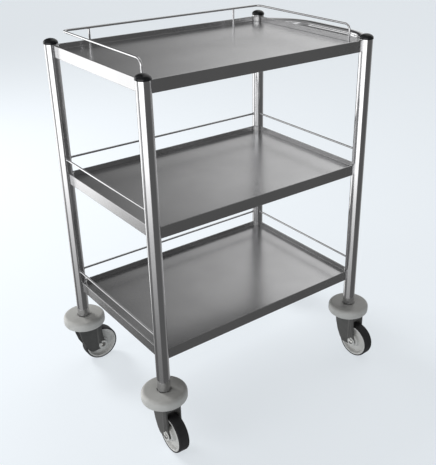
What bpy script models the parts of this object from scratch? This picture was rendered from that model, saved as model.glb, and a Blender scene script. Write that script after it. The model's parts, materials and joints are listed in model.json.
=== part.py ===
"""Instrument cart: three folded steel trays between four round posts on swivel casters.

Metres, +Z up.  X runs along the long side, with the push handle at +X, and -Y is the open front.
The origin is the centre of the bounding box's base, on the floor.
"""

import math

import bmesh
import bpy
from mathutils import Matrix, Vector

# Frame
POST_PITCH_X = 0.583            # between post axes along the long side
POST_PITCH_Y = 0.391            # between post axes along the short side
POST_R = 0.015
POST_WALL = 0.0012
POST_TOP = 0.846
GAP = 0.0003                    # between touching pieces

# Trays
TRAY_TOPS = {"top": 0.844, "middle": 0.5435, "bottom": 0.2465}
TRAY_HEIGHT = 0.0263            # rim top to skirt bottom
TRAY_DEPTH = 0.012              # rim top to tray floor
RIM_THICK = 0.003               # the rim is folded double
SHEET = 0.0015
SKIRT_RETURN = 0.012            # flange folded in under the skirt

# Guard rods, gallery and handle
ROD_R = 0.0025
GUARD_HEIGHTS = {"middle": 0.5785, "bottom": 0.2776}
GALLERY_Z = 0.8748
GALLERY_SIDE_INSET = 0.019      # from the post axes, left and right
GALLERY_BACK_INSET = 0.024
GALLERY_FRONT_INSET = 0.036
GALLERY_BEND = 0.014
SUPPORT_LEFT_INSET = 0.082
SUPPORT_RIGHT_INSET = 0.100
FOOT_BELOW = 0.001              # how far the gallery's feet come out under the tray floor
HANDLE_R = 0.010
HANDLE_WALL = 0.0012
HANDLE_REACH = 0.080
HANDLE_Z = 0.8288
HANDLE_BEND = 0.130

# Caps
CAP_R = 0.0162
CAP_BRIM = 0.0025
CAP_HEIGHT = 0.012
CAP_PLUG = 0.018

# Casters
WHEEL_R = 0.045
RIM_R = 0.0415
TYRE_HALF = 0.0135
TRAIL = 0.035
DISC_R = 0.0525
DISC_BOTTOM = 0.1205
DISC_TOP = 0.147
DISC_EDGE = 0.007
FORK_HALF = 0.0195
FORK_SLOT_HALF = 0.0155
FORK_TOP = 0.1157
CROWN_BOTTOM = 0.107
STEM_R = 0.0057
STEM_BORE_R = 0.006
STEM_TOP = 0.200
PLUG_TOP = 0.186
BOLT_R = 0.0039
BOLT_BORE_R = 0.0042
BOLT_HEAD_R = 0.0075
BOLT_HEAD = 0.005
CORNERS = {
    "front_left": (-1, -1, -92.0),
    "front_right": (1, -1, -87.0),
    "back_left": (-1, 1, 0.0),
    "back_right": (1, 1, -80.0),
}


# ---------------------------------------------------------------- helpers

def clear_scene():
    for item in list(bpy.data.objects):
        bpy.data.objects.remove(item, do_unlink=True)


def make_material(name, colour, metallic, roughness):
    material = bpy.data.materials.new(name)
    material.use_nodes = True
    shader = material.node_tree.nodes["Principled BSDF"]
    shader.inputs["Base Color"].default_value = (*colour, 1.0)
    shader.inputs["Metallic"].default_value = metallic
    shader.inputs["Roughness"].default_value = roughness
    material.diffuse_color = (*colour, 1.0)
    return material


def make_empty(name, location, parent=None, turn=0.0):
    empty = bpy.data.objects.new(name, None)
    bpy.context.collection.objects.link(empty)
    empty.location = location
    empty.rotation_euler = (0.0, 0.0, turn)
    empty.parent = parent
    return empty


def make_object(name, bm, look, parent, location=(0.0, 0.0, 0.0)):
    """Turn a bmesh into a named object with its own material, shaded smooth up to 30 degrees."""
    bmesh.ops.recalc_face_normals(bm, faces=bm.faces)
    mesh = bpy.data.meshes.new(name)
    bm.to_mesh(mesh)
    bm.free()
    mesh.shade_smooth()
    mesh.set_sharp_from_angle(angle=math.radians(30.0))
    item = bpy.data.objects.new(name, mesh)
    bpy.context.collection.objects.link(item)
    item.data.materials.append(make_material(name, *look))
    item.location = location
    item.parent = parent
    return item


def cut(item, cutter):
    """Subtract a cutter, which stays in the scene as a hidden wire shape."""
    cutter.hide_render = True
    cutter.display_type = "WIRE"
    modifier = item.modifiers.new("cut_" + cutter.name, "BOOLEAN")
    modifier.operation = "DIFFERENCE"
    modifier.solver = "EXACT"
    modifier.object = cutter


def bridge_loops(bm, loops, closed):
    """Join rings of equal length with quads; closed also joins the last ring to the first."""
    count = len(loops[0])
    pairs = list(zip(loops, loops[1:]))
    if closed:
        pairs.append((loops[-1], loops[0]))
    for lower, upper in pairs:
        for i in range(count):
            j = (i + 1) % count
            bm.faces.new((lower[i], lower[j], upper[j], upper[i]))


def ring(bm, radius, height, segments, phase=0.0):
    points = []
    for i in range(segments):
        angle = phase + 2.0 * math.pi * i / segments
        points.append(bm.verts.new((radius * math.cos(angle), radius * math.sin(angle), height)))
    return points


def turned(profile, segments, bored, phase=0.0):
    """Spin (radius, height) points about Z. A bored profile is a closed loop round a hole."""
    bm = bmesh.new()
    loops = [ring(bm, radius, height, segments, phase) for radius, height in profile]
    bridge_loops(bm, loops, bored)
    if not bored:
        bm.faces.new(loops[0])
        bm.faces.new(loops[-1])
    return bm


def arc(centre, radius, start, end, steps):
    """Points on an arc in a plane, angles in degrees, both ends included."""
    points = []
    for i in range(steps + 1):
        angle = math.radians(start + (end - start) * i / steps)
        points.append((centre[0] + radius * math.cos(angle), centre[1] + radius * math.sin(angle)))
    return points


def rounded_path(corners, radius, steps):
    """A path of straight runs whose inner corners are arcs of the given radius."""
    corners = [Vector(corner) for corner in corners]
    path = [corners[0]]
    for before, corner, after in zip(corners, corners[1:], corners[2:]):
        back = (before - corner).normalized()
        ahead = (after - corner).normalized()
        half = back.angle(ahead) / 2.0
        centre = corner + (back + ahead).normalized() * (radius / math.sin(half))
        first = corner + back * (radius / math.tan(half)) - centre
        last = corner + ahead * (radius / math.tan(half)) - centre
        sweep = first.angle(last)
        for i in range(steps + 1):
            share = i / steps
            spoke = first * math.sin((1.0 - share) * sweep) + last * math.sin(share * sweep)
            path.append(centre + spoke / math.sin(sweep))
    path.append(corners[-1])
    return path


def swept(path, radius, sides, bore=0.0):
    """A round rod along a path, or a tube that is open at both ends where a bore is given."""
    bm = bmesh.new()
    outer = []
    inner = []
    side = None
    for i, point in enumerate(path):
        before = path[max(i - 1, 0)]
        after = path[min(i + 1, len(path) - 1)]
        forward = (after - before).normalized()
        if side is None:
            side = Vector((1, 0, 0)) if abs(forward.z) > 0.9 else Vector((0, 0, 1))
        side = (side - forward * side.dot(forward)).normalized()
        up = forward.cross(side)
        spokes = []
        for k in range(sides):
            angle = 2.0 * math.pi * k / sides
            spokes.append(side * math.cos(angle) + up * math.sin(angle))
        outer.append([bm.verts.new(point + spoke * radius) for spoke in spokes])
        if bore:
            inner.append([bm.verts.new(point + spoke * bore) for spoke in spokes])
    if bore:
        bridge_loops(bm, outer + inner[::-1], True)
    else:
        bridge_loops(bm, outer, False)
        bm.faces.new(outer[0])
        bm.faces.new(outer[-1])
    return bm


def extruded(outline, low, high):
    """Extrude an (x, z) outline along Y."""
    bm = bmesh.new()
    near = [bm.verts.new((x, low, z)) for x, z in outline]
    far = [bm.verts.new((x, high, z)) for x, z in outline]
    bridge_loops(bm, [near, far], False)
    bm.faces.new(near)
    bm.faces.new(far)
    return bm


def stood_on_y(bm):
    """Lay a body turned about Z along Y."""
    bmesh.ops.rotate(bm, verts=bm.verts, cent=(0, 0, 0), matrix=Matrix.Rotation(math.radians(-90), 3, "X"))
    return bm


# ---------------------------------------------------------------- looks: colour, metallic, roughness

POLISHED = ((0.62, 0.62, 0.63), 1.0, 0.15)
BRUSHED = ((0.52, 0.52, 0.52), 1.0, 0.35)
BLACK_PLASTIC = ((0.012, 0.013, 0.014), 0.0, 0.2)
GREY_PLASTIC = ((0.50, 0.50, 0.48), 0.0, 0.45)
FORK_GREY = ((0.16, 0.16, 0.155), 0.6, 0.4)
HUB_GREY = ((0.62, 0.62, 0.60), 0.0, 0.5)
TYRE_BLACK = ((0.02, 0.02, 0.022), 0.0, 0.6)
ZINC = ((0.55, 0.55, 0.54), 1.0, 0.3)


# ---------------------------------------------------------------- frame pieces

def corner_place(side_x, side_y, height=0.0):
    return (side_x * POST_PITCH_X / 2, side_y * POST_PITCH_Y / 2, height)


def add_post(name, side_x, side_y, root):
    bottom = DISC_TOP + GAP
    bore = POST_R - POST_WALL
    profile = [(POST_R, bottom), (POST_R, POST_TOP), (bore, POST_TOP), (bore, bottom)]
    make_object("post_" + name, turned(profile, 24, True), POLISHED, root, corner_place(side_x, side_y))


def add_post_cap(name, side_x, side_y, root):
    seat = POST_TOP + GAP
    plug = POST_R - POST_WALL - GAP
    profile = [(plug, POST_TOP - CAP_PLUG), (plug, seat), (CAP_R, seat), (CAP_R, seat + CAP_BRIM)]
    dome = CAP_HEIGHT - CAP_BRIM
    for angle in (25, 50, 75):
        turn = math.radians(angle)
        profile.append((CAP_R * math.cos(turn), seat + CAP_BRIM + dome * math.sin(turn)))
    bm = turned(profile, 20, False)
    make_object("post_cap_" + name, bm, BLACK_PLASTIC, root, corner_place(side_x, side_y))


def tray_outline(inset, steps=5):
    """The tray's outline moved in by inset: a rectangle with a round notch at each post."""
    half_x = POST_PITCH_X / 2
    half_y = POST_PITCH_Y / 2
    notch = POST_R + GAP + inset
    first = math.degrees(math.asin(inset / notch))
    points = []
    for side_x, side_y in ((-1, -1), (1, -1), (1, 1), (-1, 1)):
        quarter = arc((0.0, 0.0), notch, first, 90.0 - first, steps)
        if side_x * side_y > 0:
            quarter.reverse()
        for x, y in quarter:
            points.append((side_x * (half_x - x), side_y * (half_y - y)))
    return points


def add_tray(name, root):
    """One folded sheet: floor, raised double rim, outer skirt and a flange folded in under it."""
    top = TRAY_TOPS[name]
    floor = top - TRAY_DEPTH
    bottom = top - TRAY_HEIGHT
    section = [
        (RIM_THICK, floor),
        (RIM_THICK, top),
        (0.0, top),
        (0.0, bottom),
        (SKIRT_RETURN, bottom),
        (SKIRT_RETURN, bottom + SHEET),
        (SHEET, bottom + SHEET),
        (SHEET, floor - SHEET),
    ]
    bm = bmesh.new()
    loops = []
    for inset, height in section:
        loops.append([bm.verts.new((x, y, height)) for x, y in tray_outline(inset)])
    bridge_loops(bm, loops, False)
    bm.faces.new(loops[0])
    bm.faces.new(loops[-1])
    return make_object("tray_" + name, bm, BRUSHED, root)


def cut_foot_holes(tray, root):
    """Holes through the top tray's floor for the gallery's feet, which are welded from below."""
    floor = TRAY_TOPS["top"] - TRAY_DEPTH
    for x, y in gallery_feet().values():
        profile = [(ROD_R + GAP, floor - 2 * SHEET), (ROD_R + GAP, floor + SHEET)]
        cut(tray, make_object("foot_hole", turned(profile, 12, False), BRUSHED, root, (x, y, 0.0)))


def add_guard_rods(level, root):
    """Three straight rods from post to post: left, back and right."""
    height = GUARD_HEIGHTS[level]
    reach_x = POST_PITCH_X / 2 - POST_R - GAP
    reach_y = POST_PITCH_Y / 2 - POST_R - GAP
    half_x = POST_PITCH_X / 2
    half_y = POST_PITCH_Y / 2
    runs = {
        "left": ((-half_x, -reach_y, height), (-half_x, reach_y, height)),
        "right": ((half_x, -reach_y, height), (half_x, reach_y, height)),
        "back": ((-reach_x, half_y, height), (reach_x, half_y, height)),
    }
    for side, ends in runs.items():
        bm = swept([Vector(end) for end in ends], ROD_R, 12)
        make_object("guard_rod_%s_%s" % (level, side), bm, POLISHED, root)


def gallery_feet():
    """Where the gallery's two front ends and its two supports pass through the top tray's floor."""
    side_x = POST_PITCH_X / 2 - GALLERY_SIDE_INSET
    front = -POST_PITCH_Y / 2 + GALLERY_FRONT_INSET
    back = POST_PITCH_Y / 2 - GALLERY_BACK_INSET
    return {
        "end_left": (-side_x, front),
        "end_right": (side_x, front),
        "support_left": (-POST_PITCH_X / 2 + SUPPORT_LEFT_INSET, back),
        "support_right": (POST_PITCH_X / 2 - SUPPORT_RIGHT_INSET, back),
    }


def add_gallery(root):
    """One bent rod round three sides of the top tray, standing on its two front ends."""
    side_x, front = gallery_feet()["end_right"]
    back = POST_PITCH_Y / 2 - GALLERY_BACK_INSET
    foot = TRAY_TOPS["top"] - TRAY_DEPTH - SHEET - FOOT_BELOW
    corners = [
        (-side_x, front, foot),
        (-side_x, front, GALLERY_Z),
        (-side_x, back, GALLERY_Z),
        (side_x, back, GALLERY_Z),
        (side_x, front, GALLERY_Z),
        (side_x, front, foot),
    ]
    bm = swept(rounded_path(corners, GALLERY_BEND, 5), ROD_R, 12)
    make_object("gallery_rod", bm, POLISHED, root)


def add_gallery_supports(root):
    foot = TRAY_TOPS["top"] - TRAY_DEPTH - SHEET - FOOT_BELOW
    head = GALLERY_Z - ROD_R - GAP
    for side in ("left", "right"):
        x, y = gallery_feet()["support_" + side]
        bm = swept([Vector((x, y, foot)), Vector((x, y, head))], ROD_R, 12)
        make_object("gallery_support_" + side, bm, POLISHED, root)


def add_push_handle(root):
    """A bent tube between the two right posts, its ends coped to fit the posts."""
    base_x = POST_PITCH_X / 2
    base_y = POST_PITCH_Y / 2
    corners = [
        (base_x, base_y, HANDLE_Z),
        (base_x + HANDLE_REACH, base_y - HANDLE_REACH, HANDLE_Z),
        (base_x + HANDLE_REACH, -base_y + HANDLE_REACH, HANDLE_Z),
        (base_x, -base_y, HANDLE_Z),
    ]
    bm = swept(rounded_path(corners, HANDLE_BEND, 7), HANDLE_R, 16, HANDLE_R - HANDLE_WALL)
    handle = make_object("push_handle", bm, POLISHED, root)
    for side_y in (-1, 1):
        cope_r = POST_R + GAP
        profile = [(cope_r, HANDLE_Z - 0.03), (cope_r, HANDLE_Z + 0.03)]
        cope = make_object("cope", turned(profile, 24, False), POLISHED, root, corner_place(1, side_y))
        cut(handle, cope)


# ---------------------------------------------------------------- caster pieces

def add_bumper_disc(name, parent):
    low = DISC_BOTTOM
    high = DISC_TOP
    edge = DISC_R - DISC_EDGE
    profile = [(STEM_BORE_R, low)]
    profile += arc((edge, low + DISC_EDGE), DISC_EDGE, -90.0, 0.0, 3)
    profile += arc((edge, high - DISC_EDGE), DISC_EDGE, 0.0, 90.0, 3)
    profile.append((STEM_BORE_R, high))
    make_object("bumper_disc_" + name, turned(profile, 24, True), GREY_PLASTIC, parent)


def add_stem(name, parent):
    """King pin: a rivet head under the fork's crown and a long shank up into the post."""
    profile = [
        (0.009, CROWN_BOTTOM - 0.006),
        (0.009, CROWN_BOTTOM - GAP),
        (STEM_R, CROWN_BOTTOM - GAP),
        (STEM_R, STEM_TOP),
    ]
    make_object("caster_stem_" + name, turned(profile, 16, False), ZINC, parent)


def add_stem_plug(name, parent):
    outer = POST_R - POST_WALL - GAP
    low = DISC_TOP + GAP
    profile = [(outer, low), (outer, PLUG_TOP), (STEM_BORE_R, PLUG_TOP), (STEM_BORE_R, low)]
    make_object("stem_plug_" + name, turned(profile, 20, True), BLACK_PLASTIC, parent)


def add_swivel_bearing(name, parent):
    low = FORK_TOP + GAP
    high = DISC_BOTTOM - GAP
    profile = [(0.022, low), (0.022, high), (STEM_BORE_R, high), (STEM_BORE_R, low)]
    make_object("swivel_bearing_" + name, turned(profile, 20, True), ZINC, parent)


def fork_outline():
    """The side view of the fork: wide under the disc, slanting down to the axle boss."""
    outline = [(-0.026, FORK_TOP), (-0.0255, 0.105), (-0.022, 0.085), (-0.0155, 0.062), (-0.006, 0.043)]
    outline += arc((0.009, 0.045), 0.0125, 215.0, 270.0, 2)
    outline += arc((TRAIL, WHEEL_R), 0.010, 270.0, 350.0, 4)
    outline += [(0.0385, 0.066), (0.037, 0.085), (0.037, FORK_TOP)]
    return outline


def add_fork(name, parent):
    fork = make_object("caster_fork_" + name, extruded(fork_outline(), -FORK_HALF, FORK_HALF), FORK_GREY, parent)
    slot = [(-0.06, 0.0), (-0.06, CROWN_BOTTOM), (0.09, CROWN_BOTTOM), (0.09, 0.0)]
    cut(fork, make_object("slot", extruded(slot, -FORK_SLOT_HALF, FORK_SLOT_HALF), FORK_GREY, parent))
    king_bore = [(STEM_BORE_R, CROWN_BOTTOM - 0.01), (STEM_BORE_R, FORK_TOP + 0.01)]
    cut(fork, make_object("king_bore", turned(king_bore, 16, False), FORK_GREY, parent))
    axle_bore = stood_on_y(turned([(BOLT_BORE_R, -0.03), (BOLT_BORE_R, 0.03)], 16, False))
    cut(fork, make_object("axle_bore", axle_bore, FORK_GREY, parent, (TRAIL, 0.0, WHEEL_R)))


def add_axle_bolt(name, parent):
    """The bolt lies along the axle with its head on the fork's outer face."""
    head = FORK_HALF + GAP
    profile = [
        (BOLT_HEAD_R, -head - BOLT_HEAD),
        (BOLT_HEAD_R, -head),
        (BOLT_R, -head),
        (BOLT_R, head + BOLT_HEAD + 0.001),
    ]
    make_object("axle_bolt_" + name, stood_on_y(turned(profile, 16, False)), ZINC, parent)
    nut = [
        (BOLT_HEAD_R, head),
        (BOLT_HEAD_R, head + BOLT_HEAD),
        (BOLT_BORE_R, head + BOLT_HEAD),
        (BOLT_BORE_R, head),
    ]
    bm = turned(nut, 12, True)
    make_object("axle_nut_" + name, stood_on_y(bm), ZINC, parent)


def add_wheel(name, parent):
    """A dished wheel centre with a hub boss, and the tyre round it."""
    boss_half = FORK_SLOT_HALF - GAP
    boss_r = 0.0165
    web_half = 0.004
    well_r = 0.036
    rim_half = 0.0125
    half_profile = [
        (BOLT_BORE_R, boss_half),
        (boss_r, boss_half),
        (boss_r, web_half),
        (well_r, web_half),
        (well_r + 0.001, rim_half),
        (RIM_R, rim_half),
    ]
    profile = half_profile + [(radius, -height) for radius, height in reversed(half_profile)]
    make_object("wheel_hub_" + name, stood_on_y(turned(profile, 20, True)), HUB_GREY, parent)
    inner = RIM_R + GAP
    half_tyre = [(inner, rim_half), (0.0432, TYRE_HALF), (WHEEL_R, TYRE_HALF - 0.0022)]
    profile = half_tyre + [(radius, -height) for radius, height in reversed(half_tyre)]
    make_object("tyre_" + name, stood_on_y(turned(profile, 28, True, math.pi / 2)), TYRE_BLACK, parent)


def add_caster(name, side_x, side_y, swivel_deg, root):
    place = corner_place(side_x, side_y)
    fixed = make_empty("caster_mount_" + name, place, root)
    add_bumper_disc(name, fixed)
    add_stem(name, fixed)
    add_stem_plug(name, fixed)
    add_swivel_bearing(name, fixed)
    swivel = make_empty("swivel_axis_" + name, place, root, math.radians(swivel_deg))
    add_fork(name, swivel)
    axle = make_empty("axle_axis_" + name, (TRAIL, 0.0, WHEEL_R), swivel)
    add_axle_bolt(name, axle)
    add_wheel(name, axle)


# ---------------------------------------------------------------- assembly

def overall_box():
    """The corners of the box round everything that is not a cutter."""
    bpy.context.view_layer.update()
    graph = bpy.context.evaluated_depsgraph_get()
    points = []
    for item in bpy.data.objects:
        if item.type == "MESH" and not item.hide_render:
            shape = item.evaluated_get(graph)
            points += [shape.matrix_world @ Vector(corner) for corner in shape.bound_box]
    low = Vector([min(point[axis] for point in points) for axis in range(3)])
    high = Vector([max(point[axis] for point in points) for axis in range(3)])
    return low, high


def build():
    clear_scene()
    root = make_empty("cart_origin", (0.0, 0.0, 0.0))
    for name, (side_x, side_y, swivel_deg) in CORNERS.items():
        add_post(name, side_x, side_y, root)
        add_post_cap(name, side_x, side_y, root)
        add_caster(name, side_x, side_y, swivel_deg, root)
    trays = {name: add_tray(name, root) for name in TRAY_TOPS}
    cut_foot_holes(trays["top"], root)
    for level in GUARD_HEIGHTS:
        add_guard_rods(level, root)
    add_gallery(root)
    add_gallery_supports(root)
    add_push_handle(root)
    low, high = overall_box()
    root.location = (-(low.x + high.x) / 2, -(low.y + high.y) / 2, -low.z)


build()
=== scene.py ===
"""Looks for the instrument cart: finished meshes, materials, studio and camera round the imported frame."""

import json
import math

import bmesh
import bpy
from mathutils import Matrix, Vector


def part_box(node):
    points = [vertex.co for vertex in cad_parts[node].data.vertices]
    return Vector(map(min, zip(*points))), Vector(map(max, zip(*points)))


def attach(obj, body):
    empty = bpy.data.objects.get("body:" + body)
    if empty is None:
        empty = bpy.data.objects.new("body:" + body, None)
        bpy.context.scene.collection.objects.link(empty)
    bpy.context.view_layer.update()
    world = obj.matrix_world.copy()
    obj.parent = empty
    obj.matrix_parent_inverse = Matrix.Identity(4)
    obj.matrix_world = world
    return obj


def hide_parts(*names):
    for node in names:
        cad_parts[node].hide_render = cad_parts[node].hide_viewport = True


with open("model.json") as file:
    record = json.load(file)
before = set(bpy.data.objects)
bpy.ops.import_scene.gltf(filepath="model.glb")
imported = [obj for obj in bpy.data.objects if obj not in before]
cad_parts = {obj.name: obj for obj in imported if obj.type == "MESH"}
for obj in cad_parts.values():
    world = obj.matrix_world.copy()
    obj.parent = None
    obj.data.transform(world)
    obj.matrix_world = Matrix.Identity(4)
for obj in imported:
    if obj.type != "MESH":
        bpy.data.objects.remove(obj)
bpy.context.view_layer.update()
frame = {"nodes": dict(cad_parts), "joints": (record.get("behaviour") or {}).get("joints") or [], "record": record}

GAP = 0.0003                    # what touching pieces keep between them
IDENTITY = Matrix.Identity(4)
UP = Vector((0, 0, 1))
CORNER_NAMES = ("front_left", "front_right", "back_left", "back_right")
TRAY_NAMES = ("top", "middle", "bottom")


# ---------------------------------------------------------------- sizes read from the frame

def centre_of(node):
    low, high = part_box(node)
    return (low + high) / 2


POSTS = {name: centre_of("post_" + name) for name in CORNER_NAMES}
POST_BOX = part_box("post_front_left")
POST_R = (POST_BOX[1].x - POST_BOX[0].x) / 2
POST_WALL = 0.0012
ROD_R = 0.0025                  # gallery and guard rods
TRAY_FLOORS = {}
for mount in frame["record"]["mounts"]:
    TRAY_FLOORS[mount["name"].split("_")[0]] = mount["pos_m"][2]
JOINTS = {joint["name"]: joint for joint in frame["joints"]}
AXLE_Z = JOINTS["roll_front_left"]["pos_m"][2]
WHEEL_R = AXLE_Z                # the wheel stands on the floor


# ---------------------------------------------------------------- mesh helpers

SHARP_ANGLE = math.radians(35.0)        # edges past this stay sharp in the shading
BEVEL_ANGLE = math.radians(40.0)        # edges past this are rounded
AREA_WEIGHT = 90                        # how much large faces count in the shading normals
MERGE_DISTANCE = 1e-7
ROD_SIDES = 28                          # segments round a rod


def arc(centre, radius, start, end, steps):
    """Points on an arc in a plane, angles in degrees, both ends included."""
    points = []
    for i in range(steps + 1):
        angle = math.radians(start + (end - start) * i / steps)
        points.append((centre[0] + radius * math.cos(angle), centre[1] + radius * math.sin(angle)))
    return points


def corner_arc(before, corner, after, radius, steps):
    """The arc that rounds the corner between two neighbouring points, in a plane or in space."""
    back = (before - corner).normalized()
    ahead = (after - corner).normalized()
    half = back.angle(ahead) / 2.0
    centre = corner + (back + ahead).normalized() * (radius / math.sin(half))
    first = corner + back * (radius / math.tan(half)) - centre
    last = corner + ahead * (radius / math.tan(half)) - centre
    sweep = first.angle(last)
    points = []
    for i in range(steps + 1):
        share = i / steps
        spoke = first * math.sin((1.0 - share) * sweep) + last * math.sin(share * sweep)
        points.append(centre + spoke / math.sin(sweep))
    return points


def rounded(corners, steps=4, closed=False):
    """Replace each (x, y, radius) corner of an outline by an arc of that radius."""
    points = []
    count = len(corners)
    for i, (x, y, radius) in enumerate(corners):
        at_end = not closed and i in (0, count - 1)
        if at_end or radius == 0.0:
            points.append((x, y))
            continue
        before = Vector(corners[i - 1][:2])
        after = Vector(corners[(i + 1) % count][:2])
        points += [tuple(point) for point in corner_arc(before, Vector((x, y)), after, radius, steps)]
    return points


def rounded_path(corners, radius, steps):
    """A 3-D path of straight runs whose inner corners are arcs of the given radius."""
    corners = [Vector(corner) for corner in corners]
    path = [corners[0]]
    for before, corner, after in zip(corners, corners[1:], corners[2:]):
        path += corner_arc(before, corner, after, radius, steps)
    path.append(corners[-1])
    return path


def bridge_loops(bm, loops, closed):
    """Join rings of equal length with quads; closed also joins the last ring to the first."""
    count = len(loops[0])
    pairs = list(zip(loops, loops[1:]))
    if closed:
        pairs.append((loops[-1], loops[0]))
    for lower, upper in pairs:
        for i in range(count):
            j = (i + 1) % count
            bm.faces.new((lower[i], lower[j], upper[j], upper[i]))


def turned(profile, segments, bored):
    """Spin (radius, height) points about Z. A bored profile is a closed loop round a hole.
    The points of a ring on the axis are merged into one, so domes close in a fan."""
    bm = bmesh.new()
    loops = []
    for radius, height in profile:
        loop = []
        for i in range(segments):
            angle = 2.0 * math.pi * i / segments
            loop.append(bm.verts.new((radius * math.cos(angle), radius * math.sin(angle), height)))
        loops.append(loop)
    bridge_loops(bm, loops, bored)
    if not bored:
        bm.faces.new(loops[0])
        bm.faces.new(loops[-1])
    bmesh.ops.remove_doubles(bm, verts=bm.verts, dist=MERGE_DISTANCE)
    return bm


def rings_along(bm, path, radius, sides):
    """Rings of vertices round each point of a path, each square to the path there."""
    steep = 0.9                 # past this share of upright, a run can't start from the up direction
    rings = []
    side = None
    for i, point in enumerate(path):
        before = path[max(i - 1, 0)]
        after = path[min(i + 1, len(path) - 1)]
        forward = (after - before).normalized()
        if side is None:
            side = UP if abs(forward.dot(UP)) < steep else Vector((1, 0, 0))
        side = (side - forward * side.dot(forward)).normalized()
        other = forward.cross(side)
        loop = []
        for k in range(sides):
            angle = 2.0 * math.pi * k / sides
            spoke = side * math.cos(angle) + other * math.sin(angle)
            loop.append(bm.verts.new(point + spoke * radius))
        rings.append(loop)
    return rings


def swept(path, radius, sides):
    """A round rod along a path with flat ends."""
    bm = bmesh.new()
    rings = rings_along(bm, [Vector(point) for point in path], radius, sides)
    bridge_loops(bm, rings, closed=False)
    bm.faces.new(rings[0])
    bm.faces.new(rings[-1])
    return bm


def extruded(outline, low, high):
    """Extrude an (x, z) outline along Y."""
    bm = bmesh.new()
    near = [bm.verts.new((x, low, z)) for x, z in outline]
    far = [bm.verts.new((x, high, z)) for x, z in outline]
    bridge_loops(bm, [near, far], closed=False)
    bm.faces.new(near)
    bm.faces.new(far)
    return bm


def upright(outline, low, high):
    """Extrude an (x, y) outline along Z."""
    bm = bmesh.new()
    loops = [[bm.verts.new((x, y, z)) for x, y in outline] for z in (low, high)]
    bridge_loops(bm, loops, closed=False)
    bm.faces.new(loops[0])
    bm.faces.new(loops[1])
    return bm


def laid_on_y(bm):
    """Lay a body turned about Z along Y."""
    turn = Matrix.Rotation(math.radians(-90), 3, "X")
    bmesh.ops.rotate(bm, verts=bm.verts, cent=(0, 0, 0), matrix=turn)
    return bm


def plain_object(name, bm, matrix=IDENTITY):
    """An object with its place in its vertices."""
    bmesh.ops.recalc_face_normals(bm, faces=bm.faces)
    mesh = bpy.data.meshes.new(name)
    bm.to_mesh(mesh)
    bm.free()
    mesh.transform(matrix)
    item = bpy.data.objects.new(name, mesh)
    bpy.context.scene.collection.objects.link(item)
    return item


def bake_modifiers(item):
    """Replace an object's mesh by what its modifiers make of it."""
    bpy.context.view_layer.update()
    graph = bpy.context.evaluated_depsgraph_get()
    mesh = bpy.data.meshes.new_from_object(item.evaluated_get(graph))
    item.modifiers.clear()
    item.data = mesh


def shade(item):
    """Smooth shading with normals weighted by area, so flat runs stay flat up to their rounded edges."""
    item.data.shade_smooth()
    item.data.set_sharp_from_angle(angle=SHARP_ANGLE)
    modifier = item.modifiers.new("normals", "WEIGHTED_NORMAL")
    modifier.keep_sharp = True
    modifier.weight = AREA_WEIGHT
    bake_modifiers(item)


def combine(item, other, operation):
    """Apply an exact Boolean with another object, which is then removed."""
    modifier = item.modifiers.new("combine", "BOOLEAN")
    modifier.operation = operation
    modifier.solver = "EXACT"
    modifier.object = other
    bake_modifiers(item)
    bpy.data.objects.remove(other, do_unlink=True)


def round_edges(item, width, segments=3):
    """Round every edge where two faces meet at more than BEVEL_ANGLE."""
    modifier = item.modifiers.new("round", "BEVEL")
    modifier.width = width
    modifier.segments = segments
    modifier.limit_method = "ANGLE"
    modifier.angle_limit = BEVEL_ANGLE
    modifier.use_clamp_overlap = True
    bake_modifiers(item)


def piece(name, bm, look, body, nodes=(), matrix=IDENTITY):
    """A finished piece: its mesh in place, its material, the body it rides on and the nodes it stands for."""
    item = plain_object(name, bm, matrix)
    return finish_piece(item, look, body, nodes)


def finish_piece(item, look, body, nodes=()):
    """Shade an object, give it its material, attach it to its body and hide the nodes it stands for."""
    shade(item)
    item.data.materials.clear()
    item.data.materials.append(look)
    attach(item, body)
    if nodes:
        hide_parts(*nodes)
    return item


# ---------------------------------------------------------------- materials

class Nodes:
    """Adds shader nodes and links to one material."""

    def __init__(self, material):
        self.tree = material.node_tree
        self.shader = self.tree.nodes["Principled BSDF"]

    def add(self, kind, **inputs):
        """A new node. A keyword sets the input of that name, such as To_Min for To Min."""
        node = self.tree.nodes.new(kind)
        for key, value in inputs.items():
            node.inputs[key.replace("_", " ")].default_value = value
        return node

    def link(self, source, target):
        self.tree.links.new(source, target)

    def drive(self, source, target):
        """Link a value to an input of the surface shader."""
        self.link(source, self.shader.inputs[target])

    def stretched(self, scale):
        """Object coordinates stretched by a scale per axis."""
        place = self.add("ShaderNodeTexCoord")
        mapping = self.add("ShaderNodeMapping", Scale=scale)
        self.link(place.outputs["Object"], mapping.inputs["Vector"])
        return mapping.outputs["Vector"]

    def noise(self, vector, scale, detail=3.0, roughness=0.5):
        node = self.add("ShaderNodeTexNoise", Scale=scale, Detail=detail, Roughness=roughness)
        self.link(vector, node.inputs["Vector"])
        return node.outputs["Fac"]

    def spread(self, value, low, high):
        """Map a noise value's usual range, 0.3 to 0.7, to low..high."""
        node = self.add("ShaderNodeMapRange", From_Min=0.3, From_Max=0.7, To_Min=low, To_Max=high)
        self.link(value, node.inputs["Value"])
        return node.outputs["Result"]

    def mix(self, share, first, second):
        """Mix two colours. A mix node keeps its colour sockets at these places."""
        node = self.add("ShaderNodeMix")
        node.data_type = "RGBA"
        node.inputs[6].default_value = (*first, 1.0)
        node.inputs[7].default_value = (*second, 1.0)
        self.link(share, node.inputs[0])
        return node.outputs[2]

    def bump(self, height, strength, distance):
        node = self.add("ShaderNodeBump", Strength=strength, Distance=distance)
        self.link(height, node.inputs["Height"])
        self.drive(node.outputs["Normal"], "Normal")


def new_material(name, metallic, specular=0.5):
    material = bpy.data.materials.new(name)
    material.use_nodes = True
    nodes = Nodes(material)
    nodes.shader.inputs["Metallic"].default_value = metallic
    nodes.shader.inputs["Specular IOR Level"].default_value = specular
    return material, nodes


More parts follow.
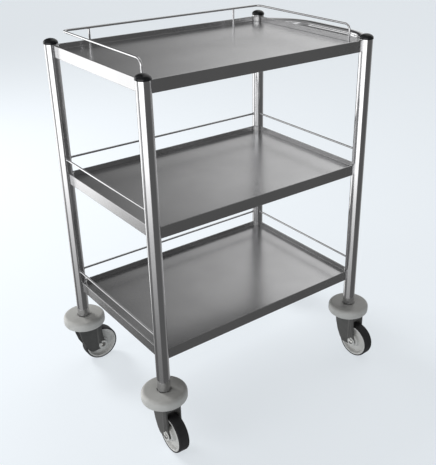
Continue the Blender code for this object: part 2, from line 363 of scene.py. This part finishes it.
EVEN = (1.0, 1.0, 1.0)                  # a grain that runs no way in particular


def steel(name, dark, light, rough, grain, grain_scale, depth):
    """Stainless steel with a grain stretched along one direction and faint cloudy smears."""
    material, nodes = new_material(name, 1.0)
    lines = nodes.noise(nodes.stretched(grain), grain_scale, 4.0, 0.6)
    clouds = nodes.noise(nodes.stretched(EVEN), 9.0)
    nodes.drive(nodes.mix(nodes.spread(clouds, 0.0, 1.0), dark, light), "Base Color")
    nodes.drive(nodes.spread(lines, *rough), "Roughness")
    nodes.bump(lines, 0.25, depth)
    return material


def plastic(name, dark, light, rough, grain_scale, depth, specular=0.5):
    """Moulded plastic or rubber: faint mottling, and a fine skin grain."""
    material, nodes = new_material(name, 0.0, specular)
    place = nodes.stretched(EVEN)
    mottle = nodes.noise(place, 35.0, 4.0, 0.6)
    grain = nodes.noise(place, grain_scale, 2.0)
    nodes.drive(nodes.mix(nodes.spread(mottle, 0.0, 1.0), dark, light), "Base Color")
    nodes.drive(nodes.spread(mottle, *rough), "Roughness")
    nodes.bump(grain, 0.3, depth)
    return material


def painted(name, dark, light, rough, metallic):
    """Satin coated metal with a very fine orange-peel."""
    material, nodes = new_material(name, metallic)
    place = nodes.stretched(EVEN)
    mottle = nodes.noise(place, 60.0, 4.0, 0.6)
    peel = nodes.noise(place, 900.0, 2.0)
    nodes.drive(nodes.mix(nodes.spread(mottle, 0.0, 1.0), dark, light), "Base Color")
    nodes.drive(nodes.spread(mottle, *rough), "Roughness")
    nodes.bump(peel, 0.2, 0.0001)
    return material


POLISHED_UPRIGHT = steel(
    "polished_upright", dark=(0.60, 0.60, 0.61), light=(0.66, 0.66, 0.67), rough=(0.09, 0.15),
    grain=(1.0, 1.0, 0.02), grain_scale=900.0, depth=0.00002)
POLISHED_ROD = steel(
    "polished_rod", dark=(0.60, 0.60, 0.61), light=(0.66, 0.66, 0.67), rough=(0.10, 0.18),
    grain=(0.3, 0.3, 1.0), grain_scale=900.0, depth=0.00002)
BRUSHED = steel(
    "brushed_sheet", dark=(0.50, 0.50, 0.505), light=(0.55, 0.55, 0.555), rough=(0.20, 0.26),
    grain=(0.04, 1.0, 1.0), grain_scale=1300.0, depth=0.00002)
ZINC = steel(
    "zinc_steel", dark=(0.50, 0.50, 0.49), light=(0.60, 0.60, 0.585), rough=(0.22, 0.36),
    grain=EVEN, grain_scale=500.0, depth=0.00003)
BLACK_CAP = plastic(
    "black_cap", dark=(0.006, 0.007, 0.008), light=(0.011, 0.012, 0.013), rough=(0.16, 0.26),
    grain_scale=700.0, depth=0.00003, specular=0.3)
GREY_DISC = plastic(
    "grey_disc", dark=(0.38, 0.38, 0.365), light=(0.43, 0.43, 0.415), rough=(0.38, 0.5),
    grain_scale=800.0, depth=0.00005)
HUB_GREY = plastic(
    "hub_grey", dark=(0.45, 0.45, 0.435), light=(0.51, 0.51, 0.495), rough=(0.35, 0.5),
    grain_scale=800.0, depth=0.00005)
TYRE_BLACK = plastic(
    "tyre_black", dark=(0.014, 0.014, 0.015), light=(0.026, 0.026, 0.027), rough=(0.5, 0.7),
    grain_scale=1200.0, depth=0.0001, specular=0.35)
FORK_GREY = painted(
    "fork_grey", dark=(0.070, 0.070, 0.068), light=(0.090, 0.090, 0.088), rough=(0.34, 0.46),
    metallic=0.2)


# ---------------------------------------------------------------- frame pieces

def on_post_axis(name):
    """The place of a piece turned about a post's axis."""
    return Matrix.Translation((POSTS[name].x, POSTS[name].y, 0.0))


def add_post(name):
    """The tube, with the edges of its cut ends slightly rounded."""
    low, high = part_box("post_" + name)
    bore = POST_R - POST_WALL
    lip = 0.0004
    profile = rounded([
        (POST_R, low.z, lip), (POST_R, high.z, lip), (bore, high.z, lip), (bore, low.z, lip),
    ], 2, closed=True)
    piece("tube_" + name, turned(profile, 96, bored=True), POLISHED_UPRIGHT, "cart_frame",
          ["post_" + name], on_post_axis(name))


def add_cap(name):
    """A snap-in cap: plug, brim and a shallow dome."""
    low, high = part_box("post_cap_" + name)
    brim_r = (high.x - low.x) / 2
    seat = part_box("post_" + name)[1].z + GAP
    plug_r = POST_R - POST_WALL - GAP
    chamfer = 0.001
    brim_top = seat + 0.0022
    dome = high.z - brim_top
    dome_steps = 16
    profile = [(0.0, low.z), (plug_r - chamfer, low.z), (plug_r, low.z + chamfer), (plug_r, seat)]
    profile += rounded([(plug_r, seat, 0.0), (brim_r, seat, 0.0006), (brim_r, brim_top, 0.0)], 3)[1:-1]
    for i in range(dome_steps + 1):
        angle = math.radians(90.0 * i / dome_steps)
        profile.append((brim_r * math.cos(angle), brim_top + dome * math.sin(angle)))
    piece("cap_" + name, turned(profile, 72, bored=False), BLACK_CAP, "cart_frame",
          ["post_cap_" + name], on_post_axis(name))


def tray_outline(centre, half_x, half_y, inset):
    """A rectangle with a round notch at each post, moved in by inset."""
    steps = 14
    notch = POST_R + GAP + inset
    first = math.degrees(math.asin(inset / notch))
    points = []
    for side_x, side_y in ((-1, -1), (1, -1), (1, 1), (-1, 1)):
        quarter = arc((0.0, 0.0), notch, first, 90.0 - first, steps)
        if side_x * side_y > 0:
            quarter.reverse()
        for x, y in quarter:
            points.append((centre.x + side_x * (half_x - x), centre.y + side_y * (half_y - y)))
    return points


def add_tray(name):
    """Folded sheet with rounded folds: floor, double rim, skirt and the flange turned in under it.
    The section runs from the floor's top over the rim, down the skirt and back to the floor's
    underside. The two end loops are closed by the floor's two faces."""
    low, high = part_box("tray_" + name)
    centre = (low + high) / 2
    half_x = (high.x - low.x) / 2
    half_y = (high.y - low.y) / 2
    floor = TRAY_FLOORS[name]
    sheet = 0.0013
    rim = 0.003
    flange = 0.012
    margin = 0.006              # from the fold to where the flat floor face begins
    section = rounded([
        (rim + margin, floor, 0.0),
        (rim, floor, 0.0010),
        (rim, high.z, 0.0011),
        (0.0, high.z, 0.0013),
        (0.0, low.z, 0.0012),
        (flange, low.z, 0.0005),
        (flange, low.z + sheet, 0.0005),
        (sheet, low.z + sheet, 0.0006),
        (sheet, floor - sheet, 0.0012),
        (sheet + margin, floor - sheet, 0.0),
    ])
    bm = bmesh.new()
    loops = []
    for inset, height in section:
        outline = tray_outline(centre, half_x, half_y, inset)
        loops.append([bm.verts.new((x, y, height)) for x, y in outline])
    bridge_loops(bm, loops, closed=False)
    bm.faces.new(loops[0])
    bm.faces.new(loops[-1])
    item = plain_object("shelf_" + name, bm)
    if name == "top":
        hole_r = ROD_R + GAP
        reach = 0.01
        for x, y in gallery_feet().values():
            drill = turned([(hole_r, floor - reach), (hole_r, floor + reach)], ROD_SIDES, bored=False)
            combine(item, plain_object("drill", drill, Matrix.Translation((x, y, 0.0))), "DIFFERENCE")
    finish_piece(item, BRUSHED, "cart_frame", ["tray_" + name])


def weld_bead(name, point, normal):
    """A small polished weld ring where a rod meets a face with that normal."""
    bead = 0.0009
    profile = arc((ROD_R + bead * 0.6, bead * 0.3), bead, 0.0, 330.0, 11)
    turn = UP.rotation_difference(normal).to_matrix().to_4x4()
    piece(name, turned(profile, ROD_SIDES, bored=True), POLISHED_ROD, "cart_frame", (),
          Matrix.Translation(point) @ turn)


def add_rod(name, node, path):
    """A rod along the given points that stands for one node."""
    piece(name, swept(path, ROD_R, ROD_SIDES), POLISHED_ROD, "cart_frame", [node])


def add_guard_rods():
    for level in ("middle", "bottom"):
        for side in ("left", "right", "back"):
            node = "guard_rod_%s_%s" % (level, side)
            low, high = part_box(node)
            centre = (low + high) / 2
            along = Vector((1, 0, 0)) if side == "back" else Vector((0, 1, 0))
            half = abs((high - low).dot(along)) / 2
            ends = [centre - along * half, centre + along * half]
            add_rod("rail_%s_%s" % (level, side), node, ends)
            for i, end in enumerate(ends):
                inward = along if i == 0 else -along
                weld_bead("weld_%s_%s_%d" % (level, side, i), end, inward)


GALLERY_BEND = 0.014


def gallery_feet():
    """Where the gallery's two ends and its two supports go down through the top shelf."""
    low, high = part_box("gallery_rod")
    feet = {"end_left": (low.x + ROD_R, low.y + ROD_R), "end_right": (high.x - ROD_R, low.y + ROD_R)}
    for side in ("left", "right"):
        centre = centre_of("gallery_support_" + side)
        feet["support_" + side] = (centre.x, centre.y)
    return feet


def add_gallery():
    """The bent rod round the top tray and its two stays, each foot with a weld on the tray floor."""
    low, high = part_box("gallery_rod")
    left = low.x + ROD_R
    right = high.x - ROD_R
    front = low.y + ROD_R
    back = high.y - ROD_R
    top = high.z - ROD_R
    corners = [
        (left, front, low.z), (left, front, top), (left, back, top),
        (right, back, top), (right, front, top), (right, front, low.z),
    ]
    path = rounded_path(corners, GALLERY_BEND, 12)
    add_rod("gallery", "gallery_rod", path)
    for side in ("left", "right"):
        node = "gallery_support_" + side
        foot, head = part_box(node)
        centre = (foot + head) / 2
        ends = [Vector((centre.x, centre.y, foot.z)), Vector((centre.x, centre.y, head.z))]
        add_rod("gallery_stay_" + side, node, ends)
    for name, (x, y) in gallery_feet().items():
        weld_bead("weld_foot_" + name, Vector((x, y, TRAY_FLOORS["top"])), UP)


HANDLE_R = 0.010
HANDLE_REACH = 0.080            # how far the grip stands out from the posts
HANDLE_BEND = 0.130


def add_handle():
    """The bent push tube; its end rings follow the posts' round faces."""
    low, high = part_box("push_handle")
    height = (low.z + high.z) / 2
    near = POSTS["front_right"]
    far = POSTS["back_right"]
    out_x = near.x + HANDLE_REACH
    starts = [Vector((far.x, far.y, height)), Vector((near.x, near.y, height))]
    corners = [
        starts[0],
        (out_x, far.y - HANDLE_REACH, height),
        (out_x, near.y + HANDLE_REACH, height),
        starts[1],
    ]
    path = rounded_path(corners, HANDLE_BEND, 16)
    seat = POST_R + GAP
    first_ring = seat + 0.002   # the last square ring before the coped end
    directions = [(path[1] - path[0]).normalized(), (path[-2] - path[-1]).normalized()]
    path[0] = path[0] + directions[0] * first_ring
    path[-1] = path[-1] + directions[1] * first_ring
    bm = bmesh.new()
    rings = rings_along(bm, path, HANDLE_R, 40)
    coped = []
    for loop, start, direction in zip((rings[0], rings[-1]), starts, directions):
        end_ring = []
        for vertex in loop:
            offset = vertex.co - start
            offset -= direction * offset.dot(direction)
            level = Vector((offset.x, offset.y)).length
            reach = math.sqrt(seat * seat - level * level)
            end_ring.append(bm.verts.new(start + offset + direction * reach))
        coped.append(end_ring)
    bridge_loops(bm, [coped[0]] + rings + [coped[1]], closed=False)
    bm.faces.new(coped[0])
    bm.faces.new(coped[1])
    beads = [[vertex.co.copy() for vertex in loop] for loop in coped]
    piece("handle_tube", bm, POLISHED_ROD, "cart_frame", ["push_handle"])
    for name, ring_points in zip(("back", "front"), beads):
        add_handle_weld(name, ring_points)


def add_handle_weld(name, ring_points):
    """A weld fillet that follows the coped end of the handle."""
    bm = bmesh.new()
    bead = 0.0011
    sides = 10
    angles = [2.0 * math.pi * k / sides for k in range(sides)]
    count = len(ring_points)
    loops = []
    for i, point in enumerate(ring_points):
        forward = (ring_points[(i + 1) % count] - ring_points[i - 1]).normalized()
        side = forward.cross(UP).normalized()
        other = forward.cross(side)
        spokes = [side * math.cos(angle) + other * math.sin(angle) for angle in angles]
        loops.append([bm.verts.new(point + spoke * bead) for spoke in spokes])
    bridge_loops(bm, loops, closed=True)
    piece("weld_handle_" + name, bm, POLISHED_ROD, "cart_frame")


# ---------------------------------------------------------------- casters

BORE_R = 0.0042                 # the hole for the axle bolt in the wheel, the pads and the nut
PIN_BORE_R = 0.006              # the disc's and the race's hole for the king pin


def caster_frames(name):
    """The caster's frame on the post's axis on the floor, the same turned so that +X points along the
    trail, and the trail's length."""
    pivot = Vector(JOINTS["swivel_" + name]["pos_m"])
    axle = Vector(JOINTS["roll_" + name]["pos_m"])
    trail = Vector((axle.x - pivot.x, axle.y - pivot.y))
    fixed = Matrix.Translation((pivot.x, pivot.y, 0.0))
    turn = math.atan2(trail.y, trail.x)
    return fixed, fixed @ Matrix.Rotation(turn, 4, "Z"), trail.length


def add_bumper(name, fixed):
    """The round bumper: soft rounded edge, shallow dish round the post and a recessed underside."""
    low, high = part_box("bumper_disc_" + name)
    radius = (high.x - low.x) / 2
    post_seat = POST_R + 0.0015
    recess = low.z + 0.004
    seat_floor = high.z - 0.003
    profile = rounded([
        (PIN_BORE_R, recess, 0.0),
        (0.030, recess, 0.001),
        (0.032, low.z, 0.001),
        (radius, low.z, 0.0075),
        (radius, high.z - 0.0004, 0.0095),
        (0.030, high.z, 0.006),
        (post_seat, high.z - 0.0005, 0.0006),
        (post_seat, seat_floor, 0.0003),
        (PIN_BORE_R, seat_floor, 0.0),
    ], 6)
    piece("bumper_" + name, turned(profile, 112, bored=True), GREY_DISC, "cart_frame",
          ["bumper_disc_" + name], fixed)


def add_king_pin(name, fixed):
    """The pin on which the fork swivels, with its rivet head under the crown."""
    low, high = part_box("caster_stem_" + name)
    head_r = (high.x - low.x) / 2
    head_top = low.z + 0.0057
    shank_r = PIN_BORE_R - GAP
    profile = rounded([
        (0.0, low.z, 0.0), (head_r, low.z, 0.003), (head_r, head_top, 0.0005),
        (shank_r, head_top, 0.0), (shank_r, high.z, 0.001), (0.0, high.z, 0.0),
    ])
    piece("king_pin_" + name, turned(profile, 36, bored=False), ZINC, "cart_frame",
          ["caster_stem_" + name], fixed)


def add_race(name, fixed):
    """The swivel bearing: a ring with the parting line of its two halves round it."""
    low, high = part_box("swivel_bearing_" + name)
    outer = (high.x - low.x) / 2
    middle = (low.z + high.z) / 2
    chamfer = 0.0006
    line_half = 0.0003
    line_depth = 0.0008
    profile = [
        (PIN_BORE_R, low.z), (outer - chamfer, low.z), (outer, low.z + chamfer),
        (outer, middle - line_half), (outer - line_depth, middle), (outer, middle + line_half),
        (outer, high.z - chamfer), (outer - chamfer, high.z), (PIN_BORE_R, high.z),
    ]
    piece("race_" + name, turned(profile, 64, bored=True), ZINC, "cart_frame",
          ["swivel_bearing_" + name], fixed)


FORK_HALF = 0.0195
FORK_SLOT_HALF = 0.0155
CROWN_BOTTOM = 0.107
HEAD_R = 0.0262                 # the fork's round top
BEAD_X = 0.0275                 # the rib pressed into each cheek
BEAD_LOW = 0.052
BEAD_HALF = 0.006
BEAD_RISE = 0.0026
PAD_R = 0.0118                  # the plastic pads under the axle bolt's head and the nut
PAD = 0.0014


def fork_outline(top, trail):
    """The fork's side view: wide under the disc, slanting down to the axle."""
    outline = [(-0.026, top), (-0.0255, 0.105), (-0.022, 0.085), (-0.0155, 0.062), (-0.006, 0.043)]
    outline += arc((0.009, AXLE_Z), 0.0125, 215.0, 270.0, 6)
    outline += arc((trail, AXLE_Z), 0.010, 270.0, 350.0, 10)
    outline += [(0.0385, 0.066), (0.037, 0.085), (0.037, top)]
    return outline


def add_fork(name, place, trail):
    """Two cheeks under a round head, with a rib on each cheek and every edge rounded."""
    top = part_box("caster_fork_" + name)[1].z
    item = plain_object("fork_" + name, extruded(fork_outline(top, trail), -FORK_HALF, FORK_HALF))
    head = plain_object("head", turned([(HEAD_R, CROWN_BOTTOM), (HEAD_R, top)], 64, bored=False))
    combine(item, head, "UNION")
    behind = -0.06              # the slot runs past both ends of the fork
    ahead = 0.09
    slot = [(behind, 0.0), (behind, CROWN_BOTTOM), (ahead, CROWN_BOTTOM), (ahead, 0.0)]
    combine(item, plain_object("slot", extruded(slot, -FORK_SLOT_HALF, FORK_SLOT_HALF)), "DIFFERENCE")
    sunk = 0.0002               # how far the rib's edges start inside the cheek
    bead_top = top - 0.003
    for side in (-1, 1):
        outline = [(BEAD_X + BEAD_HALF * x, side * (FORK_HALF - sunk + BEAD_RISE * y))
                   for x, y in arc((0.0, 0.0), 1.0, 0.0, 180.0, 10)]
        combine(item, plain_object("bead", upright(outline, BEAD_LOW, bead_top)), "UNION")
    round_edges(item, 0.0011)
    item.data.transform(place)
    finish_piece(item, FORK_GREY, "caster_" + name, ["caster_fork_" + name])


def add_axle(name, axle_place):
    """Axle bolt and nut, each on a round plastic pad on the fork's outer face."""
    face = FORK_HALF + GAP
    seat = face + PAD + GAP     # where the bolt's head and the nut sit on their pads
    tip = face + 0.006
    body = "caster_" + name
    add_axle_bolt(name, axle_place, body, face, seat, tip)
    for side, label in ((-1, "outer"), (1, "inner")):
        add_pad("pad_%s_%s" % (label, name), axle_place, body, side, face)
    add_nut(name, axle_place, body, seat, tip - 0.001)


def add_axle_bolt(name, axle_place, body, face, seat, tip):
    """The bolt: a low domed head with a straight edge, and a chamfered end that shows in the nut."""
    head_r = 0.0062
    head_edge = 0.0008
    head_dome = 0.0024
    bolt_r = BORE_R - GAP
    chamfer = 0.0006
    steps = 8
    profile = [(0.0, -face - 0.005)]
    for i in range(1, steps):
        angle = math.radians(90.0 * i / steps)
        profile.append((head_r * math.sin(angle), -seat - head_edge - head_dome * math.cos(angle)))
    profile += [(head_r, -seat - head_edge), (head_r, -seat), (bolt_r, -seat), (bolt_r, tip - chamfer)]
    profile += [(bolt_r - chamfer, tip), (0.0, tip)]
    piece("axle_" + name, laid_on_y(turned(profile, 48, bored=False)), ZINC, body,
          ["axle_bolt_" + name], axle_place)


def add_pad(label, axle_place, body, side, face):
    """A round pad with a shallow recess for the bolt's head or the nut."""
    recess_r = 0.0068
    recess = face + PAD - 0.0006
    ring = rounded([
        (BORE_R, face, 0.0), (PAD_R, face, 0.0003), (PAD_R, face + PAD, 0.0009),
        (recess_r, face + PAD, 0.0006), (recess_r - 0.0004, recess, 0.0), (BORE_R, recess, 0.0),
    ])
    ring = [(radius, side * height) for radius, height in ring]
    piece(label, laid_on_y(turned(ring, 64, bored=True)), HUB_GREY, body, (), axle_place)


def add_nut(name, axle_place, body, seat, top):
    """A hexagon nut: the ring of six points is its outline."""
    nut_r = 0.0068
    drill_half = 0.03
    nut = plain_object("nut_" + name, laid_on_y(turned([(nut_r, seat), (nut_r, top)], 6, bored=False)))
    drill = laid_on_y(turned([(BORE_R, -drill_half), (BORE_R, drill_half)], 32, bored=False))
    combine(nut, plain_object("nut_bore", drill), "DIFFERENCE")
    round_edges(nut, 0.0003, 2)
    nut.data.transform(axle_place)
    finish_piece(nut, ZINC, body, ["axle_nut_" + name])


def two_sided(half):
    """A closed (radius, height) outline from one side's rounded corners and their mirror image."""
    mirrored = [(radius, -height, edge) for radius, height, edge in reversed(half)]
    return rounded(half + mirrored, 5)


def add_wheel(name, axle_place):
    """Dished wheel centre with rolled rims and a boss; the tyre is a thin black band round it."""
    body = "wheel_" + name
    boss_half = FORK_SLOT_HALF - GAP
    rim_r = 0.0415
    rim_half = 0.0126
    profile = two_sided([
        (BORE_R, boss_half, 0.0), (0.0165, boss_half, 0.0022), (0.0185, 0.0055, 0.003),
        (0.0345, 0.0045, 0.003), (0.0372, rim_half, 0.0012), (rim_r, rim_half, 0.0008),
    ])
    piece("wheel_" + name, laid_on_y(turned(profile, 96, bored=True)), HUB_GREY, body,
          ["wheel_hub_" + name], axle_place)
    inner = rim_r + GAP
    tyre_half = 0.0135
    profile = two_sided([
        (inner, 0.0128, 0.0), (inner + 0.0006, tyre_half, 0.0004),
        (WHEEL_R - 0.0012, tyre_half, 0.0016), (WHEEL_R, tyre_half - 0.0035, 0.003),
    ])
    piece("tyre_band_" + name, laid_on_y(turned(profile, 128, bored=True)), TYRE_BLACK, body,
          ["tyre_" + name], axle_place)


def add_caster(name):
    fixed, swivelled, trail = caster_frames(name)
    add_bumper(name, fixed)
    add_king_pin(name, fixed)
    add_race(name, fixed)
    add_fork(name, swivelled, trail)
    axle_place = swivelled @ Matrix.Translation((trail, 0.0, AXLE_Z))
    add_axle(name, axle_place)
    add_wheel(name, axle_place)


# ---------------------------------------------------------------- studio

PALE = (0.847, 0.896, 0.939)            # the colour of the floor and of what is seen beyond it
FLOOR_SHADE = 0.37                      # the part of the floor's brightness that light and shadow change
FLOOR_GLOW = 0.69                       # the part that stays


def add_floor():
    """A pale floor that runs to the horizon. It carries shadows, and steel doesn't mirror it."""
    bm = bmesh.new()
    bmesh.ops.create_grid(bm, x_segments=1, y_segments=1, size=30.0)
    below_wheels = -0.0002
    floor = plain_object("studio_floor", bm, Matrix.Translation((0.0, 0.0, below_wheels)))
    material = bpy.data.materials.new("studio_floor")
    material.use_nodes = True
    shader = material.node_tree.nodes["Principled BSDF"]
    shader.inputs["Base Color"].default_value = (*[FLOOR_SHADE * value for value in PALE], 1.0)
    shader.inputs["Roughness"].default_value = 0.9
    shader.inputs["Specular IOR Level"].default_value = 0.1
    shader.inputs["Emission Color"].default_value = (*PALE, 1.0)
    shader.inputs["Emission Strength"].default_value = FLOOR_GLOW
    floor.data.materials.append(material)
    floor.visible_glossy = False
    floor.visible_shadow = False


def add_softbox(name, place, target, size, power):
    """A square area light that steel doesn't mirror."""
    light = bpy.data.lights.new(name, "AREA")
    light.shape = "SQUARE"
    light.size = size
    light.energy = power
    item = bpy.data.objects.new(name, light)
    bpy.context.scene.collection.objects.link(item)
    item.location = place
    aim = Vector(target) - Vector(place)
    item.rotation_euler = aim.to_track_quat("-Z", "Y").to_euler()
    item.visible_glossy = False


class WorldNodes:
    """Builds brightness patterns over the sky from the direction of each ray.
    Bearings are degrees anticlockwise from +X, and height is the sine of the angle above the horizon."""

    def __init__(self, tree):
        self.tree = tree
        place = self.add("ShaderNodeTexCoord").outputs["Generated"]
        flatten = self.add("ShaderNodeVectorMath", operation="MULTIPLY")
        flatten.inputs[1].default_value = (1.0, 1.0, 0.0)
        self.link(place, flatten.inputs[0])
        level = self.add("ShaderNodeVectorMath", operation="NORMALIZE")
        self.link(flatten.outputs["Vector"], level.inputs[0])
        self.compass = level.outputs["Vector"]
        split = self.add("ShaderNodeSeparateXYZ")
        self.link(place, split.inputs["Vector"])
        self.height = split.outputs["Z"]

    def add(self, kind, **values):
        node = self.tree.nodes.new(kind)
        for key, value in values.items():
            setattr(node, key, value)
        return node

    def link(self, source, target):
        self.tree.links.new(source, target)

    def towards(self, bearing):
        """The cosine of the angle to a bearing: 1 on it, -1 opposite."""
        angle = math.radians(bearing)
        node = self.add("ShaderNodeVectorMath", operation="DOT_PRODUCT")
        node.inputs[1].default_value = (math.cos(angle), math.sin(angle), 0.0)
        self.link(self.compass, node.inputs[0])
        return node.outputs["Value"]

    def ramp(self, value, start, end, low, high):
        """A smooth step from low to high as the value goes from start to end."""
        node = self.add("ShaderNodeMapRange", interpolation_type="SMOOTHSTEP")
        for key, number in (("From Min", start), ("From Max", end), ("To Min", low), ("To Max", high)):
            node.inputs[key].default_value = number
        self.link(value, node.inputs["Value"])
        return node.outputs["Result"]

    def maths(self, operation, first, second=0.0):
        node = self.add("ShaderNodeMath", operation=operation)
        for socket, source in zip(node.inputs, (first, second)):
            if isinstance(source, float):
                socket.default_value = source
            else:
                self.link(source, socket)
        return node.outputs["Value"]

    def times(self, first, second):
        return self.maths("MULTIPLY", first, second)

    def plus(self, first, second):
        return self.maths("ADD", first, second)


def white_screens(sky):
    """White screens round bearing 167, with two darker gaps in them."""
    screens = sky.ramp(sky.towards(167.0), 0.174, 0.375, 0.0, 1.0)
    wide_gap = sky.ramp(sky.towards(155.0), 0.955, 0.985, 1.0, 0.15)
    narrow_gap = sky.ramp(sky.towards(130.0), 0.9877, 0.9962, 1.0, 0.5)
    return sky.times(screens, sky.times(wide_gap, narrow_gap))


def below_horizon(sky, screens):
    """The screens fade out downwards, sooner and more slowly on the side away from bearing 33.
    Bearing 20 glows faintly."""
    side = sky.towards(33.0)
    reach = sky.plus(sky.height, sky.ramp(side, 0.12, 0.3, 0.345, 0.5))
    fade = sky.maths("MINIMUM", sky.times(reach, sky.ramp(side, -0.5, 0.0, 10.8, 20.0)), 0.0)
    low_white = sky.times(screens, sky.times(sky.maths("EXPONENT", fade), 2.0))
    right_glow = sky.ramp(sky.towards(20.0), 0.6, 1.0, 0.13, 0.36)
    return sky.plus(low_white, right_glow)


def above_horizon(sky, screens):
    """The screens end at a height. The rest is grey: light round bearing 20, dark round 86 and
    dimmer round 295."""
    slot = sky.ramp(sky.towards(86.0), 0.906, 0.970, 1.0, 0.2)
    back_right = sky.times(slot, sky.ramp(sky.towards(20.0), 0.72, 0.95, 0.27, 0.98))
    dim_front = sky.ramp(sky.towards(295.0), 0.2, 0.8, 1.0, 0.7)
    tall = sky.ramp(sky.height, 0.30, 0.42, 1.8, 0.12)
    return sky.plus(sky.times(back_right, dim_front), sky.times(screens, tall))


def add_world():
    """What steel mirrors is a pattern of white, grey and dark by direction.
    What the camera sees beyond the floor is plain and pale."""
    world = bpy.data.worlds.new("studio")
    bpy.context.scene.world = world
    world.use_nodes = True
    world.node_tree.nodes.clear()
    sky = WorldNodes(world.node_tree)
    screens = white_screens(sky)
    choose = sky.add("ShaderNodeMix")
    sky.link(sky.ramp(sky.height, -0.02, 0.04, 0.0, 1.0), choose.inputs[0])
    sky.link(below_horizon(sky, screens), choose.inputs[2])
    sky.link(above_horizon(sky, screens), choose.inputs[3])

    seen = sky.add("ShaderNodeBackground")
    seen.inputs["Color"].default_value = (*PALE, 1.0)
    seen.inputs["Strength"].default_value = 0.95
    mirrored = sky.add("ShaderNodeBackground")
    mirrored.inputs["Color"].default_value = (1.0, 1.0, 1.0, 1.0)
    sky.link(choose.outputs[0], mirrored.inputs["Strength"])
    pick = sky.add("ShaderNodeMixShader")
    sky.link(sky.add("ShaderNodeLightPath").outputs["Is Camera Ray"], pick.inputs[0])
    sky.link(mirrored.outputs["Background"], pick.inputs[1])
    sky.link(seen.outputs["Background"], pick.inputs[2])
    sky.link(pick.outputs["Shader"], sky.add("ShaderNodeOutputWorld").inputs["Surface"])


CAMERA_PLACE = (-0.93871, -1.32797, 1.18371)    # from the middle of the cart, on the floor
CAMERA_TURN = (1.11139, -0.00261, -0.67741)
CAMERA_LENS = 55.797
CAMERA_SHIFT = (-0.0839, -0.00847)


def add_camera():
    """The camera stands in front of the left end, looking down on the top tray."""
    data = bpy.data.cameras.new("camera")
    camera = bpy.data.objects.new("camera", data)
    bpy.context.scene.collection.objects.link(camera)
    data.lens = CAMERA_LENS
    data.sensor_width = 36.0
    data.shift_x, data.shift_y = CAMERA_SHIFT
    data.clip_end = 100.0
    middle = (POSTS["front_left"] + POSTS["back_right"]) / 2
    x, y, height = CAMERA_PLACE
    camera.location = (middle.x + x, middle.y + y, height)
    camera.rotation_euler = CAMERA_TURN
    bpy.context.scene.camera = camera


def add_studio():
    add_floor()
    add_world()
    add_softbox("key", place=(-0.8, 2.4, 2.0), target=(0.0, 0.0, 0.3), size=0.9, power=60.0)
    add_softbox("side", place=(-2.2, 0.3, 0.8), target=(0.0, 0.0, 0.15), size=1.0, power=9.0)
    add_camera()
    bpy.context.scene.view_settings.view_transform = "Standard"


# ---------------------------------------------------------------- assembly

def build():
    for name in CORNER_NAMES:
        add_post(name)
        add_cap(name)
        add_caster(name)
    for name in TRAY_NAMES:
        add_tray(name)
    add_guard_rods()
    add_gallery()
    add_handle()
    for name in CORNER_NAMES:
        look = frame["nodes"]["stem_plug_" + name].data.materials
        look.clear()
        look.append(BLACK_CAP)
    add_studio()


build()
